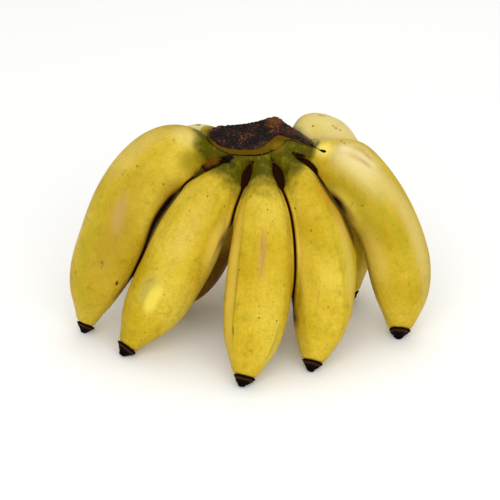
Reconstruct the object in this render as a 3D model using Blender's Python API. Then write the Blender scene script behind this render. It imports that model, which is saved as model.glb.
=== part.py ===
"""A hand of apple bananas standing on its flower ends, crown up.

Nine fingers in two rows share one crown. A finger is a swept body: a centreline, a girth
that changes along it and five soft ridges round it. Metres, +Z up, the front row towards
-Y, and the origin on the table under the middle of the hand.
"""
import math
from dataclasses import dataclass

import bmesh
import bpy
from mathutils import Vector, geometry

MM = 0.001
GAP = 0.3 * MM
SHARP_ANGLE = math.radians(50)

# The crown isn't quite over the middle of the hand: this sets the hand's middle on the origin
HAND_PLACE = Vector((-0.5 * MM, -1.2 * MM, 0))

# Fingers: how the sweep is divided, and how the girth changes from stalk to flower end
SIDES = 20
RINGS = 26
CURVE_STEPS = 200
RIDGES = 5
RIDGE_RISE = 0.03
STALK_SUNK = 6 * MM
WIDEST = 0.62
SHOULDER = 0.2
SHOULDER_REACH = 0.1
GIRTH_ALONG = ((0.0, 0.27), (0.06, 0.27), (0.15, 0.51), (0.28, 0.79), (0.46, 0.965),
               (WIDEST, 1.0), (0.75, 0.96), (0.86, 0.79), (0.94, 0.53), (1.0, 0.33))

# Dried flower ends: (share of the length, share of the finger's end radius)
NUB_SIDES = 12
NUB_LENGTH = 4.5 * MM
NUB_SHAPE = ((0.0, 0.94), (0.2, 1.0), (0.45, 0.8), (0.75, 0.56), (1.0, 0.44))
FOOT_DEPTH = 0.8 * MM
FOOT_SLIVER = 0.03 * MM

# Crown: in plan, the edge of its cut face, the rim under it, which fills the cut's notch, and
# the wider cushion that the stalks grow from, then the heights
CUT_EDGE = ((-21, 22), (-18, 14), (-10, 9.5), (0, 8.5), (6, 11), (10, 17), (14, 22.5),
            (19, 20.5), (24, 17.5), (30, 14.5), (32, 18), (27, 25), (20, 31), (13, 36),
            (4, 32), (-8, 29.5), (-17, 28))
RIM_EDGE = ((-21.5, 22), (-18.5, 13.5), (-10, 9), (0, 8), (6.5, 9), (11, 12), (15, 13.5),
            (19, 13.5), (24, 13.5), (30, 13), (33, 17.5), (28, 25.5), (20.5, 31.5), (13, 36.5),
            (4, 32.5), (-8, 30), (-17.5, 28.5))
CUSHION_EDGE = ((-21, 22), (-18, 14), (-11, 9), (0, 7.5), (7, 7.5), (11, 8), (15, 9.5),
                (19, 11), (24, 12), (30, 13), (33, 18), (28, 26), (21, 32), (13, 37),
                (4, 35), (-8, 32), (-17, 29))
CROWN_MIDDLE = Vector((11 * MM, 28 * MM, 0))
EDGE_POINTS = 34
CUT_HEIGHT = 95 * MM
CUT_SLOPE = 0.09
PEAK = (12 * MM, 37 * MM)
PEAK_RISE = 3.2 * MM
PEAK_REACH = 8.5 * MM
TAIL_START = 22 * MM
TAIL_DROOP = 0.15
CUT_THICKNESS = 3.0 * MM
CROWN_DEPTH = 16.5 * MM
TRIMMER_LIFT = 9 * MM


@dataclass(frozen=True)
class Finger:
    """One banana: where it leaves the crown and where its flower end stands, in mm and degrees.

    An azimuth of 0 points at -Y and 90 at +X. An elevation is above the horizon.
    """

    name: str
    root: tuple
    leaves: tuple
    tip: tuple
    arrives: tuple
    girth: float
    pulls: tuple = (0.36, 0.36)
    swell: float = 0.0
    taper: float = 1.0


FINGERS = (
    Finger("front_1", (-12, 17, 88), (-92, 22), (-85, -13), (-76, -69), 36.5, (0.46, 0.42), 0.19, 1.2),
    Finger("front_2", (-5, 11, 87), (-39, -20), (-62, -34), (-62, -47), 33, swell=0.14),
    Finger("front_3", (6, 9, 86), (1, -20), (-3, -60), (-24, -54), 33, swell=0.02, taper=1.1),
    Finger("front_4", (16, 13, 87), (44, -12), (31, -47), (-28, -58), 31.5, swell=0.12),
    Finger("front_5", (25, 19, 90), (83, 2), (77, -18), (-14, -70), 33.5, (0.38, 0.42), 0.12),
    Finger("back_1", (-10, 28, 88), (-140, -4), (-62, 41), (-110, -72), 32, (0.40, 0.42), 0.12),
    Finger("back_2", (0, 26, 84), (-100, -62), (-41, 7), (-60, -50), 31),
    Finger("back_3", (8, 32, 86), (185, 0), (2, 51), (190, -75), 31, (0.44, 0.36), 0.10),
    Finger("back_4", (22, 31, 88), (128, 8), (53, 18), (34, -70), 34, (0.52, 0.42), 0.18),
)


def clear_scene():
    """Removes every object, so the file can be run again."""
    for thing in list(bpy.data.objects):
        bpy.data.objects.remove(thing, do_unlink=True)


def finish(name, colour, roughness):
    """A Principled material of one plain colour."""
    material = bpy.data.materials.new(name)
    material.use_nodes = True
    shader = material.node_tree.nodes["Principled BSDF"]
    shader.inputs["Base Color"].default_value = (*colour, 1.0)
    shader.inputs["Roughness"].default_value = roughness
    shader.inputs["Metallic"].default_value = 0.0
    return material


def heading(azimuth, elevation):
    """Unit vector for a direction in degrees."""
    turn, rise = math.radians(azimuth), math.radians(elevation)
    return Vector((math.sin(turn) * math.cos(rise), -math.cos(turn) * math.cos(rise), math.sin(rise)))


def eased(x, points):
    """Height of the smooth curve through (place, height) points at place x."""
    last = len(points) - 1
    slopes = []
    for i in range(last + 1):
        before, after = points[max(i - 1, 0)], points[min(i + 1, last)]
        slopes.append((after[1] - before[1]) / (after[0] - before[0]))
    i = next((k for k in range(last) if x <= points[k + 1][0]), last - 1)
    (x0, y0), (x1, y1) = points[i], points[i + 1]
    span = x1 - x0
    t = (x - x0) / span
    return ((2 * t**3 - 3 * t**2 + 1) * y0 + (t**3 - 2 * t**2 + t) * span * slopes[i]
            + (3 * t**2 - 2 * t**3) * y1 + (t**3 - t**2) * span * slopes[i + 1])


def evenly(points, count):
    """The same open path, as count points a constant distance apart."""
    lengths = [0.0]
    for a, b in zip(points, points[1:]):
        lengths.append(lengths[-1] + (b - a).length)
    spaced, k = [], 0
    for i in range(count):
        goal = lengths[-1] * i / (count - 1)
        while k < len(points) - 2 and lengths[k + 1] < goal:
            k += 1
        spaced.append(points[k].lerp(points[k + 1], (goal - lengths[k]) / (lengths[k + 1] - lengths[k])))
    return spaced


def end_radius(finger):
    """Radius of a finger where its flower end begins."""
    return GIRTH_ALONG[-1][1] ** finger.taper * finger.girth * MM / 2


def end_height(finger):
    """Height of a finger's end that leaves its nub worn FOOT_DEPTH flat by the table."""
    pitch = math.radians(-finger.arrives[1])
    blunt = NUB_SHAPE[-1][1] * end_radius(finger)
    return (NUB_LENGTH + GAP) * math.sin(pitch) + blunt * math.cos(pitch) - FOOT_DEPTH


def girth_at(finger, share):
    """Share of a finger's full girth at a share of its length."""
    girth = eased(share, GIRTH_ALONG)
    if share > WIDEST:
        return girth ** finger.taper
    return girth + finger.swell * math.exp(-((share - SHOULDER) / SHOULDER_REACH) ** 2)


def centreline(finger):
    """A finger's root, and evenly spaced points from there to its flower end."""
    root = Vector(finger.root) * MM
    tip = Vector((finger.tip[0] * MM, finger.tip[1] * MM, end_height(finger)))
    reach = (tip - root).length
    out, down = heading(*finger.leaves), heading(*finger.arrives)
    handles = root + out * finger.pulls[0] * reach, tip - down * finger.pulls[1] * reach
    return root, evenly(geometry.interpolate_bezier(root, *handles, tip, CURVE_STEPS), RINGS)


def sections(finger):
    """Rings of points round a finger, from the end sunk in the crown to the flower end."""
    root, path = centreline(finger)
    out = heading(*finger.leaves)
    path = [root - out * STALK_SUNK] + path
    side = Vector((0, 0, 1)).cross(out).normalized()
    rings = []
    for i, middle in enumerate(path):
        along = (path[min(i + 1, len(path) - 1)] - path[max(i - 1, 0)]).normalized()
        side = (side - along * side.dot(along)).normalized()
        other = along.cross(side)
        share = max(i - 1, 0) / (RINGS - 1)
        fullness = girth_at(finger, share)
        ring = []
        for k in range(SIDES):
            angle = 2 * math.pi * k / SIDES
            ridge = 1 + RIDGE_RISE * math.cos(RIDGES * angle)
            radius = fullness * ridge * finger.girth * MM / 2
            ring.append(middle + radius * (math.cos(angle) * side + math.sin(angle) * other))
        rings.append(ring)
    return rings


def loft(name, rings, material, origin=Vector((0, 0, 0))):
    """A closed body through rings of points, with both ends filled."""
    mesh = bpy.data.meshes.new(name)
    bm = bmesh.new()
    loops = []
    for ring in rings:
        verts = [bm.verts.new(point - origin) for point in ring]
        loops.append([bm.edges.new((verts[i - 1], verts[i])) for i in range(len(verts))])
    for near, far in zip(loops, loops[1:]):
        bmesh.ops.bridge_loops(bm, edges=near + far)
    bmesh.ops.contextual_create(bm, geom=loops[0])
    bmesh.ops.contextual_create(bm, geom=loops[-1])
    bmesh.ops.recalc_face_normals(bm, faces=bm.faces)
    bm.to_mesh(mesh)
    bm.free()
    mesh.shade_smooth()
    mesh.set_sharp_from_angle(angle=SHARP_ANGLE)
    mesh.materials.append(material)
    body = bpy.data.objects.new(name, mesh)
    body.location = origin
    bpy.context.collection.objects.link(body)
    return body


def cut_height(point):
    """Height of the crown's cut face: it slopes, peaks at the back and droops along its tail."""
    off = ((point.x - PEAK[0]) / PEAK_REACH) ** 2 + ((point.y - PEAK[1]) / PEAK_REACH) ** 2
    slope = CUT_SLOPE * (point.y - CUT_EDGE[3][1] * MM)
    return CUT_HEIGHT + slope + PEAK_RISE * math.exp(-off) - TAIL_DROOP * max(0.0, point.x - TAIL_START)


def edge(corners):
    """A smooth closed outline through corner points in mm, as EDGE_POINTS points in plan."""
    count = len(corners)
    outline = []
    for i in range(EDGE_POINTS):
        place = i * count / EDGE_POINTS
        k, t = int(place), place % 1
        p = [Vector((*corners[(k + j) % count], 0)) * MM for j in (-1, 0, 1, 2)]
        outline.append(0.5 * (2 * p[1] + (p[2] - p[0]) * t + (2 * p[0] - 5 * p[1] + 4 * p[2] - p[3]) * t**2
                              + (3 * p[1] - p[0] - 3 * p[2] + p[3]) * t**3))
    return outline


def crown_ring(outline, scale, drop, grow=0.0):
    """The outline scaled about the crown's middle, grown outwards and dropped below the cut face."""
    ring = []
    for i, point in enumerate(outline):
        run = outline[(i + 1) % EDGE_POINTS] - outline[i - 1]
        outwards = Vector((run.y, -run.x, 0)).normalized()
        placed = CROWN_MIDDLE + (point - CROWN_MIDDLE) * scale + outwards * grow
        ring.append(placed + Vector((0, 0, cut_height(placed) - drop)))
    return ring


def crown_rings(grow=0.0, lift=0.0):
    """Rings of the cushion from the middle of its top to its underside."""
    cut, rim, cushion = edge(CUT_EDGE), edge(RIM_EDGE), edge(CUSHION_EDGE)
    top = CUT_THICKNESS + GAP - lift
    brow = rim if lift else cut
    plan = (
        (brow, 0.35, top, 0.0), (brow, 0.7, top, 0.0), (brow, 1.0, top, 0.0),
        (rim, 1.0, 4.5 * MM, 0.0), (rim, 1.0, 6 * MM, 0.3 * MM),
        (cushion, 1.0, 7.5 * MM, 0.0), (cushion, 1.0, 11 * MM, 0.3 * MM),
        (cushion, 0.92, 14 * MM, 0.0), (cushion, 0.65, CROWN_DEPTH + grow, 0.0),
    )
    return [crown_ring(outline, scale, drop, swell + grow) for outline, scale, drop, swell in plan]


def build_crown(material):
    """The green cushion, and the wider copy that trims the stalks clear of it."""
    cushion = loft("crown", crown_rings(), material)
    trimmer = loft("crown_trimmer", crown_rings(grow=GAP, lift=TRIMMER_LIFT), material)
    trimmer.hide_render = True
    trimmer.display_type = "WIRE"
    return cushion, trimmer


def build_cut(material):
    """The dried layer on top of the crown."""
    outline = edge(CUT_EDGE)
    plan = ((0.35, 0.0), (0.7, 0.0), (0.96, 0.0), (1.0, 0.7 * MM), (1.0, CUT_THICKNESS),
            (0.7, CUT_THICKNESS), (0.35, CUT_THICKNESS))
    return loft("crown_cut", [crown_ring(outline, scale, drop) for scale, drop in plan], material)


def build_finger(finger, material, trimmer):
    """One banana, trimmed where its stalk meets the crown."""
    root = Vector(finger.root) * MM
    body = loft(f"banana_{finger.name}", sections(finger), material, root)
    trim = body.modifiers.new("meets_crown", "BOOLEAN")
    trim.operation = "DIFFERENCE"
    trim.solver = "EXACT"
    trim.object = trimmer
    return body


def build_tip(finger, material):
    """The dried flower end, worn flat where it stands on the table."""
    path = centreline(finger)[1]
    along = heading(*finger.arrives)
    start = path[-1] + along * GAP
    side = Vector((0, 0, 1)).cross(along).normalized()
    other = along.cross(side)
    rings = []
    for share, width in NUB_SHAPE:
        radius = width * end_radius(finger)
        turns = [2 * math.pi * k / NUB_SIDES for k in range(NUB_SIDES)]
        rings.append([start + along * share * NUB_LENGTH
                      + radius * (math.cos(a) * side + math.sin(a) * other) for a in turns])
    nub = loft(f"tip_{finger.name}", rings, material, start)
    bm = bmesh.new()
    bm.from_mesh(nub.data)
    everything = bm.verts[:] + bm.edges[:] + bm.faces[:]
    cut = bmesh.ops.bisect_plane(bm, geom=everything, dist=FOOT_SLIVER, plane_co=(0, 0, -start.z),
                                 plane_no=(0, 0, -1), clear_outer=True)
    rim = [item for item in cut["geom_cut"] if isinstance(item, bmesh.types.BMEdge)]
    for vert in {end for side in rim for end in side.verts}:
        vert.co.z = -start.z
    bmesh.ops.contextual_create(bm, geom=rim)
    bm.to_mesh(nub.data)
    bm.free()
    return nub


def build():
    """The whole hand, on one empty."""
    clear_scene()
    hand = bpy.data.objects.new("hand", None)
    hand.location = HAND_PLACE
    bpy.context.collection.objects.link(hand)
    skin = finish("banana_skin", (0.68, 0.49, 0.06), 0.42)
    dried = finish("dried_flower_end", (0.035, 0.02, 0.014), 0.8)
    cushion, trimmer = build_crown(finish("green_crown", (0.16, 0.17, 0.02), 0.5))
    pieces = [cushion, trimmer, build_cut(finish("dried_cut", (0.035, 0.018, 0.01), 0.85))]
    for finger in FINGERS:
        pieces.append(build_finger(finger, skin, trimmer))
        pieces.append(build_tip(finger, dried))
    for piece in pieces:
        piece.parent = hand


build()
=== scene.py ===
"""A hand of apple bananas in a plain studio: skins, necks, crown and dried ends.

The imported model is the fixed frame. Sizes below are in millimetres and degrees, in that frame:
+Z up, the front row towards -Y, the origin on the table under the middle of the hand.
"""
import logging
import math
from dataclasses import dataclass, field
from enum import Enum

import bmesh
import bpy
import numpy as np
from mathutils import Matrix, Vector, bvhtree, geometry, kdtree, noise


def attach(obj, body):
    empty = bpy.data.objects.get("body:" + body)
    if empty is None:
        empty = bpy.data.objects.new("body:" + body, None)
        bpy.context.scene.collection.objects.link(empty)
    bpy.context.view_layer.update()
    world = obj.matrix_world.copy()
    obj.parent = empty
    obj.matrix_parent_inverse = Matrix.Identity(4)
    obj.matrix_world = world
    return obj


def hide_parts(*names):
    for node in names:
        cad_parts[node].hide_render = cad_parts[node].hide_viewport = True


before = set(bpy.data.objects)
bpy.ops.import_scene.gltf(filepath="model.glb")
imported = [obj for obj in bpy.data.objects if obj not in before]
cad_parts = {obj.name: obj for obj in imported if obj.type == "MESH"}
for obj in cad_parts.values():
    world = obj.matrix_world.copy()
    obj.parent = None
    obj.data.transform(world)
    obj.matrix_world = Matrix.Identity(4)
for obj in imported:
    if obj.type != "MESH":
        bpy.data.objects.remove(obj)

logging.basicConfig(level=logging.INFO, format="%(message)s")
log = logging.getLogger("hand_of_bananas")

MM = 0.001
HAND_PLACE = Vector((-0.5, -1.2, 0)) * MM
MIX_A, MIX_B = 6, 7
STORES = {1: ("FLOAT", "value"), 3: ("FLOAT_VECTOR", "vector"), 4: ("FLOAT_COLOR", "color")}
TINY = 1e-6
SLICES = 60

Pair = tuple[float, float]
Triple = tuple[float, float, float]
Four = tuple[float, float, float, float]
Array = np.ndarray
Piece = bpy.types.Object
Tree = bpy.types.NodeTree
Node = bpy.types.Node


class Slot(Enum):
    """The record's material slots."""

    SKIN = "skin"
    CROWN = "crown"
    CUT = "dried_cut"
    END = "dried_end"


def linear(code: str) -> tuple[float, float, float, float]:
    """Turns an sRGB hex colour, such as "#D6BA42", into opaque linear RGBA."""
    shares = [int(code[i:i + 2], 16) / 255 for i in (1, 3, 5)]
    return (*(s / 12.92 if s <= 0.04045 else ((s + 0.055) / 1.055) ** 2.4 for s in shares), 1.0)


def per_metre(size_mm: float) -> float:
    """Texture scale that makes a pattern's features about size_mm across."""
    return 1 / (size_mm * MM)


def read_at(place: object, size_mm: float, detail: float, rough: float) -> dict:
    """Inputs of a noise texture that is read at a place, with features about size_mm across."""
    return {"Vector": place, "Scale": per_metre(size_mm), "Detail": detail, "Roughness": rough}


def eased_step(low: float, high: float, x: Array) -> Array:
    """Smooth step from 0 at low to 1 at high, which may run downwards."""
    t = np.clip((x - low) / (high - low), 0, 1)
    return t * t * (3 - 2 * t)


def heading(azimuth: float, elevation: float) -> Vector:
    """Unit vector: azimuth 0 points at -Y and 90 at +X, elevation is above the horizon."""
    turn, rise = math.radians(azimuth), math.radians(elevation)
    return Vector((math.sin(turn) * math.cos(rise), -math.cos(turn) * math.cos(rise), math.sin(rise)))


def turned_by(turn: Array, angle: float) -> Array:
    """Angle from an angle in degrees to each of some in radians, by the short way round."""
    return np.angle(np.exp(1j * (turn - math.radians(angle))))


def squares_between(places: Array, points: Array) -> Array:
    """Squared distance from every place, by row, to every point, by column."""
    return (places**2).sum(axis=1)[:, None] + (points**2).sum(axis=1) - 2 * places @ points.T


def circle(count: int) -> Array:
    """Angles of count points that are evenly spaced round a circle."""
    return np.linspace(0, 2 * math.pi, count, endpoint=False)


def pick_only(*pieces: Piece) -> None:
    """Leaves edit mode and selects some pieces alone.

    Args:
        pieces: The pieces, the first of which is made active, or none.
    """
    if bpy.context.mode != "OBJECT":
        bpy.ops.object.mode_set(mode="OBJECT")
    bpy.ops.object.select_all(action="DESELECT")
    for piece in pieces:
        piece.select_set(True)
    bpy.context.view_layer.objects.active = pieces[0] if pieces else None


def apply_modifier(piece: Piece, kind: str, **settings: object) -> None:
    """Adds one modifier and applies it.

    Args:
        piece: The piece.
        kind: The modifier's type.
        settings: Its settings.
    """
    pick_only(piece)
    modifier = piece.modifiers.new(kind.lower(), kind)
    for name, value in settings.items():
        setattr(modifier, name, value)
    bpy.ops.object.modifier_apply(modifier=modifier.name)


def subdivide(piece: Piece, levels: int = 2) -> None:
    """Rounds a piece by subdividing it."""
    apply_modifier(piece, "SUBSURF", levels=levels, render_levels=levels)


def close_up(piece: Piece) -> Piece:
    """Ends the edit of a closed piece, with its normals pointing out.

    Args:
        piece: The piece, in edit mode.

    Returns:
        The same piece.
    """
    bpy.ops.mesh.select_all(action="SELECT")
    bpy.ops.mesh.normals_make_consistent(inside=False)
    bpy.ops.object.mode_set(mode="OBJECT")
    return piece


def extruded_rings(name: str, rings: list[Array]) -> Piece:
    """Models a closed body as by hand: a disc is extruded ring by ring, each ring put in place.

    Args:
        name: Name of the piece.
        rings: Places of each ring's points, in metres, all with the same count.

    Returns:
        The piece, at the origin.
    """
    pick_only()
    bpy.ops.mesh.primitive_circle_add(vertices=len(rings[0]), fill_type="NGON", enter_editmode=True)
    piece = bpy.context.object
    piece.name = piece.data.name = name
    bm = bmesh.from_edit_mesh(piece.data)
    bm.verts.ensure_lookup_table()
    for vert, place in zip(bm.verts, rings[0]):
        vert.co = place
    for last, ring in zip(rings, rings[1:]):
        bpy.ops.mesh.extrude_region_move()
        bm = bmesh.from_edit_mesh(piece.data)
        for vert in [v for v in bm.verts if v.select]:
            vert.co = ring[np.argmin(((last - np.array(vert.co)) ** 2).sum(axis=1))]
    return close_up(piece)


def tube(name: str, centres: list[Array], radii: list[Array],
         sides: list[tuple[Vector, Vector]]) -> Piece:
    """Models a closed body from rings round a line.

    Args:
        name: Name of the piece.
        centres: Middle of each ring, in metres.
        radii: Radius of each ring at each of its points, in metres.
        sides: The two directions that each ring lies in.

    Returns:
        The piece, rounded.
    """
    rings = []
    for centre, radius, (side, other) in zip(centres, radii, sides):
        turns = circle(len(radius))
        across, down = radius * np.cos(turns), radius * np.sin(turns)
        rings.append(centre + np.outer(across, side) + np.outer(down, other))
    piece = extruded_rings(name, rings)
    subdivide(piece)
    return piece


def rows_of(piece: Piece, part: str = "co") -> Array:
    """Reads a piece's vertices.

    Args:
        piece: The piece.
        part: "co" for their places, or "normal".

    Returns:
        Rows of x, y, z.
    """
    flat = np.empty(len(piece.data.vertices) * 3)
    piece.data.vertices.foreach_get(part, flat)
    return flat.reshape(-1, 3)


def put_places(piece: Piece, places: Array) -> None:
    """Moves a piece's vertices to these places."""
    piece.data.vertices.foreach_set("co", places.ravel())
    piece.data.update()


def rough_noise(places: Array, size_mm: float, seed: float = 0.0) -> Array:
    """Smooth noise at some places.

    Args:
        places: The places, in metres.
        size_mm: How far its features are across.
        seed: Number that picks this noise.

    Returns:
        From about -1 to 1 at each place.
    """
    shift = Vector((seed * 7.3, seed * 3.1, seed * 5.7))
    scale = per_metre(size_mm)
    return np.array([noise.noise(Vector(p) * scale + shift) for p in places])


def roughen(piece: Piece, *grains: Triple) -> Array:
    """Moves a piece's surface out and in by smooth noise.

    Args:
        piece: The piece.
        grains: Size and height in mm, and seed, of each noise.

    Returns:
        The new places of its vertices.
    """
    places = rows_of(piece)
    heights = sum(rough_noise(places, size, seed) * height for size, height, seed in grains)
    places += rows_of(piece, "normal") * (heights * MM)[:, None]
    put_places(piece, places)
    return places


def keep(piece: Piece, name: str, values: Array) -> None:
    """Stores a number, a vector or a linear RGBA colour for each vertex, for a material to read.

    Args:
        piece: The piece.
        name: Name that the material reads it by.
        values: One row a vertex, of one, three or four numbers.
    """
    kind, part = STORES[values[0].size]
    store = piece.data.attributes.new(name, kind, "POINT")
    store.data.foreach_set(part, values.astype(np.float32).ravel())


def hand_over(piece: Piece, slot: Slot, material: bpy.types.Material, *nodes: str) -> None:
    """Dresses a finished piece and gives it to the frame.

    Args:
        piece: The piece, in place.
        slot: Material slot of the record; not used.
        material: Its finish.
        nodes: CAD nodes that it stands for.
    """
    piece.data.materials.clear()
    piece.data.materials.append(material)
    pick_only(piece)
    bpy.ops.object.shade_smooth()
    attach(piece, "root")
    if nodes:
        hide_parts(*nodes)
    log.info("%s: %d faces, for %s", piece.name, len(piece.data.polygons), ", ".join(nodes) or "no node")


def fill_in(tree: Tree, node: Node, inputs: dict) -> None:
    """Sets a node's inputs.

    Args:
        tree: The node's tree.
        node: The node.
        inputs: Input name or number, to a value, an output, or a node that gives its first output.
    """
    for place, value in inputs.items():
        if isinstance(value, bpy.types.Node):
            value = next(output for output in value.outputs if output.enabled)
        if isinstance(value, bpy.types.NodeSocket):
            tree.links.new(value, node.inputs[place])
        else:
            node.inputs[place].default_value = value


def add_node(tree: Tree, kind: str, inputs: dict | tuple = (), **settings: object) -> Node:
    """Adds a shader node with its settings, values and links.

    Args:
        tree: The material's node tree.
        kind: Node type without its prefix, such as "TexNoise".
        inputs: Its inputs as fill_in takes them, or the first of them in order.
        settings: The node's own properties.

    Returns:
        The node.
    """
    node = tree.nodes.new(f"ShaderNode{kind}")
    for name, value in settings.items():
        setattr(node, name, value)
    fill_in(tree, node, inputs if isinstance(inputs, dict) else dict(enumerate(inputs)))
    return node


def set_stops(ramp: Node, stops: tuple[tuple[float, str], ...]) -> None:
    """Gives a colour ramp its stops.

    Args:
        ramp: The ramp's node, as new.
        stops: Place and sRGB colour of each, from first to last.
    """
    elements = ramp.color_ramp.elements
    for element, (place, code) in zip(elements, (stops[0], stops[-1])):
        element.position, element.color = place, linear(code)
    for place, code in stops[1:-1]:
        elements.new(place).color = linear(code)


@dataclass(frozen=True)
class Finish:
    """What the finishes share: a name, a roughness, a specular level and a relief in mm.

    Each is named for the real thing, and says what that gives the eye. A noise is given by its
    size in mm, detail and roughness.
    """

    name: str
    roughness: float
    specular: float
    relief: float = 0.0
    relief_mm: float = 0.0

    def start(self) -> tuple[bpy.types.Material, Tree, bpy.types.NodeSocket]:
        """Adds the material.

        Returns:
            It, its node tree and the place in object space.
        """
        material = bpy.data.materials.new(self.name)
        material.use_nodes = True
        return material, material.node_tree, add_node(material.node_tree, "TexCoord").outputs["Object"]

    def layered(self, tree: Tree, base: Node, *layers: tuple) -> Node:
        """Lays colours over each other in order.

        Args:
            tree: The material's node tree.
            base: The lowest colour.
            layers: Cover and colour of each, and how it is mixed if it isn't laid over.

        Returns:
            The node of the final colour.
        """
        for cover, colour, *mixed in layers:
            base = add_node(tree, "Mix", {0: cover, MIX_A: base, MIX_B: colour}, data_type="RGBA",
                            blend_type=mixed[0] if mixed else "MIX")
        return base

    def finish(self, tree: Tree, colour: Node, height: Node, **inputs: object) -> None:
        """Joins the colour and the relief to the shader.

        Args:
            tree: The material's node tree.
            colour: The colour.
            height: Height of the relief, where the finish has one.
            inputs: Other inputs of the shader, which go before the finish's own.
        """
        own = {"Base Color": colour, "Roughness": self.roughness, "Specular IOR Level": self.specular}
        if self.relief:
            own["Normal"] = add_node(tree, "Bump", {"Height": height, "Strength": self.relief,
                                                    "Distance": self.relief_mm * MM})
        fill_in(tree, tree.nodes["Principled BSDF"], own | inputs)


@dataclass(frozen=True)
class BananaSkin(Finish):
    """Banana skin: grown, ripened from green to yellow, with a thin natural wax.

    To the eye it is a satin yellow with broad soft highlights, cloudy rather than flat, with fine
    streaks along the finger, brown freckles, brown from rubbing where two fingers meet, deepened to
    near-black painted crevice shade in the seams and by the pockets, and green left where it joins
    the crown. The freckles and pores are drawn coarser than they are, so as to show.
    Dots are given by their distance in mm, the share of bare places, their largest radius as a
    share of that distance, and their cover. Other fours and pairs are a range and what it becomes,
    or 0 to 1, and ragged is a factor and a shift.
    """

    name: str = "ripe_banana_skin"
    roughness: float = 0.38
    specular: float = 0.04
    relief: float = 0.35
    relief_mm: float = 0.1
    index: float = 1.45
    ripeness: tuple[tuple[float, str], ...] = ((0.3, "#B69816"), (0.52, "#C5A72A"), (0.75, "#D2B942"))
    olive: str = "#8C8210"
    green: str = "#4D4902"
    freckle: str = "#6B4C16"
    # The next two colours: skin browned by rubbing, deepened as painted shade beside the crevice, and
    # near-black painted crevice shade in the seam itself.
    rubbed_and_shaded: str = "#8A5A10"
    seam: str = "#2A1306"
    clouds: Triple = (24.0, 3.0, 0.5)
    blotches: Triple = (5.0, 4.0, 0.6)
    mottle: Triple = (1.5, 3.0, 0.7)
    pores: Triple = (0.6, 2.0, 0.5)
    streaks: Triple = (1.1, 3.0, 0.5)
    streak_stretch: float = 0.07
    freckles: Four = (4.2, 0.45, 0.15, 0.8)
    specks: Four = (2.1, 0.22, 0.19, 0.5)
    dot_edge: Triple = (-0.03, 0.05, 0.0)
    tinge: Four = (0.5, 0.75, 0.0, 0.4)
    ridge_tinge: float = 0.1
    streak_share: float = 0.45
    shade: Four = (0.45, 1.0, 0.83, 1.1)
    drip_share: float = 0.6
    ragged: Pair = (0.9, -0.72)
    unripe: Pair = (0.1, 1.0)
    worn: Four = (0.3, 0.55, 0.88, 1.0)
    near: Four = (0.2, 0.8, 0.0, 0.75)
    closed: Pair = (0.7, 0.92)
    dull: Pair = (0.3, 0.7)
    duller_by: Pair = (-0.05, 0.07)

    def dots(self, tree: Tree, place: bpy.types.NodeSocket, apart: float, rare: float, size: float,
             cover: float) -> Node:
        """Adds scattered dots of mixed sizes.

        Args:
            tree: The material's node tree.
            place: Where the pattern is read.
            apart: Mean distance between the places where a dot may sit, in mm.
            rare: Share of those places that stay bare.
            size: Largest radius, as a share of that distance.
            cover: How strongly a dot shows.

        Returns:
            The cover of the dots.
        """
        cells = add_node(tree, "TexVoronoi", {"Vector": place, "Scale": per_metre(apart)})
        chance = add_node(tree, "SeparateColor", (cells.outputs["Color"],))
        radius = add_node(tree, "MapRange", (chance, rare, 1.0, 0.0, size))
        inside = add_node(tree, "Math", (radius, cells), operation="SUBTRACT")
        return add_node(tree, "MapRange", (inside, *self.dot_edge, cover))

    def material(self) -> bpy.types.Material:
        """Builds the skin from object-space clouds, straightened streaks and painted marks.

        Returns:
            The material.
        """
        material, tree, place = self.start()
        paint = add_node(tree, "Attribute", attribute_name="paint")
        straight, neck, ridge, touch = (
            add_node(tree, "Attribute", attribute_name=name).outputs[part]
            for name, part in (("straight", "Vector"), ("green", "Fac"), ("ridge", "Fac"), ("touch", "Fac")))
        drawn = add_node(tree, "Mapping", {"Vector": straight, "Scale": (1, 1, self.streak_stretch)})
        streaks = add_node(tree, "TexNoise", read_at(drawn, *self.streaks))
        clouds, blotches, mottle, pores = (
            add_node(tree, "TexNoise", read_at(place, *grain))
            for grain in (self.clouds, self.blotches, self.mottle, self.pores))
        ripe = add_node(tree, "ValToRGB", (clouds,))
        set_stops(ripe, self.ripeness)
        tinge = add_node(tree, "MapRange", (blotches, *self.tinge))
        olive = add_node(tree, "Math", (ridge, self.ridge_tinge, tinge), operation="MULTIPLY_ADD")
        both = add_node(tree, "Math", (streaks, self.streak_share, mottle), operation="MULTIPLY_ADD")
        shade = add_node(tree, "MapRange", (both, *self.shade))
        drips = add_node(tree, "Math", (streaks, self.drip_share, blotches), operation="MULTIPLY_ADD")
        ragged = add_node(tree, "Math", (drips, *self.ragged), operation="MULTIPLY_ADD")
        reach = add_node(tree, "Math", (neck, ragged), operation="ADD")
        unripe = add_node(tree, "MapRange", (reach, *self.unripe))
        dots = add_node(tree, "Math", (self.dots(tree, place, *self.freckles),
                                       self.dots(tree, place, *self.specks)), operation="MAXIMUM")
        worn = add_node(tree, "MapRange", (mottle, *self.worn))
        marks = add_node(tree, "Math", (paint.outputs["Alpha"], worn), operation="MULTIPLY")
        near = add_node(tree, "MapRange", (touch, *self.near))
        closed = add_node(tree, "MapRange", (touch, *self.closed))
        colour = self.layered(
            tree, ripe, (olive, linear(self.olive)), (1.0, shade, "MULTIPLY"), (unripe, linear(self.green)),
            (dots, linear(self.freckle)), (marks, paint.outputs["Color"]), (near, linear(self.rubbed_and_shaded)),
            (closed, linear(self.seam)))
        rough = (self.roughness + by for by in self.duller_by)
        dull = add_node(tree, "MapRange", (blotches, *self.dull, *rough))
        grain = add_node(tree, "Math", (streaks, pores), operation="ADD")
        self.finish(tree, colour, grain, Roughness=dull, IOR=self.index)
        return material


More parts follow.
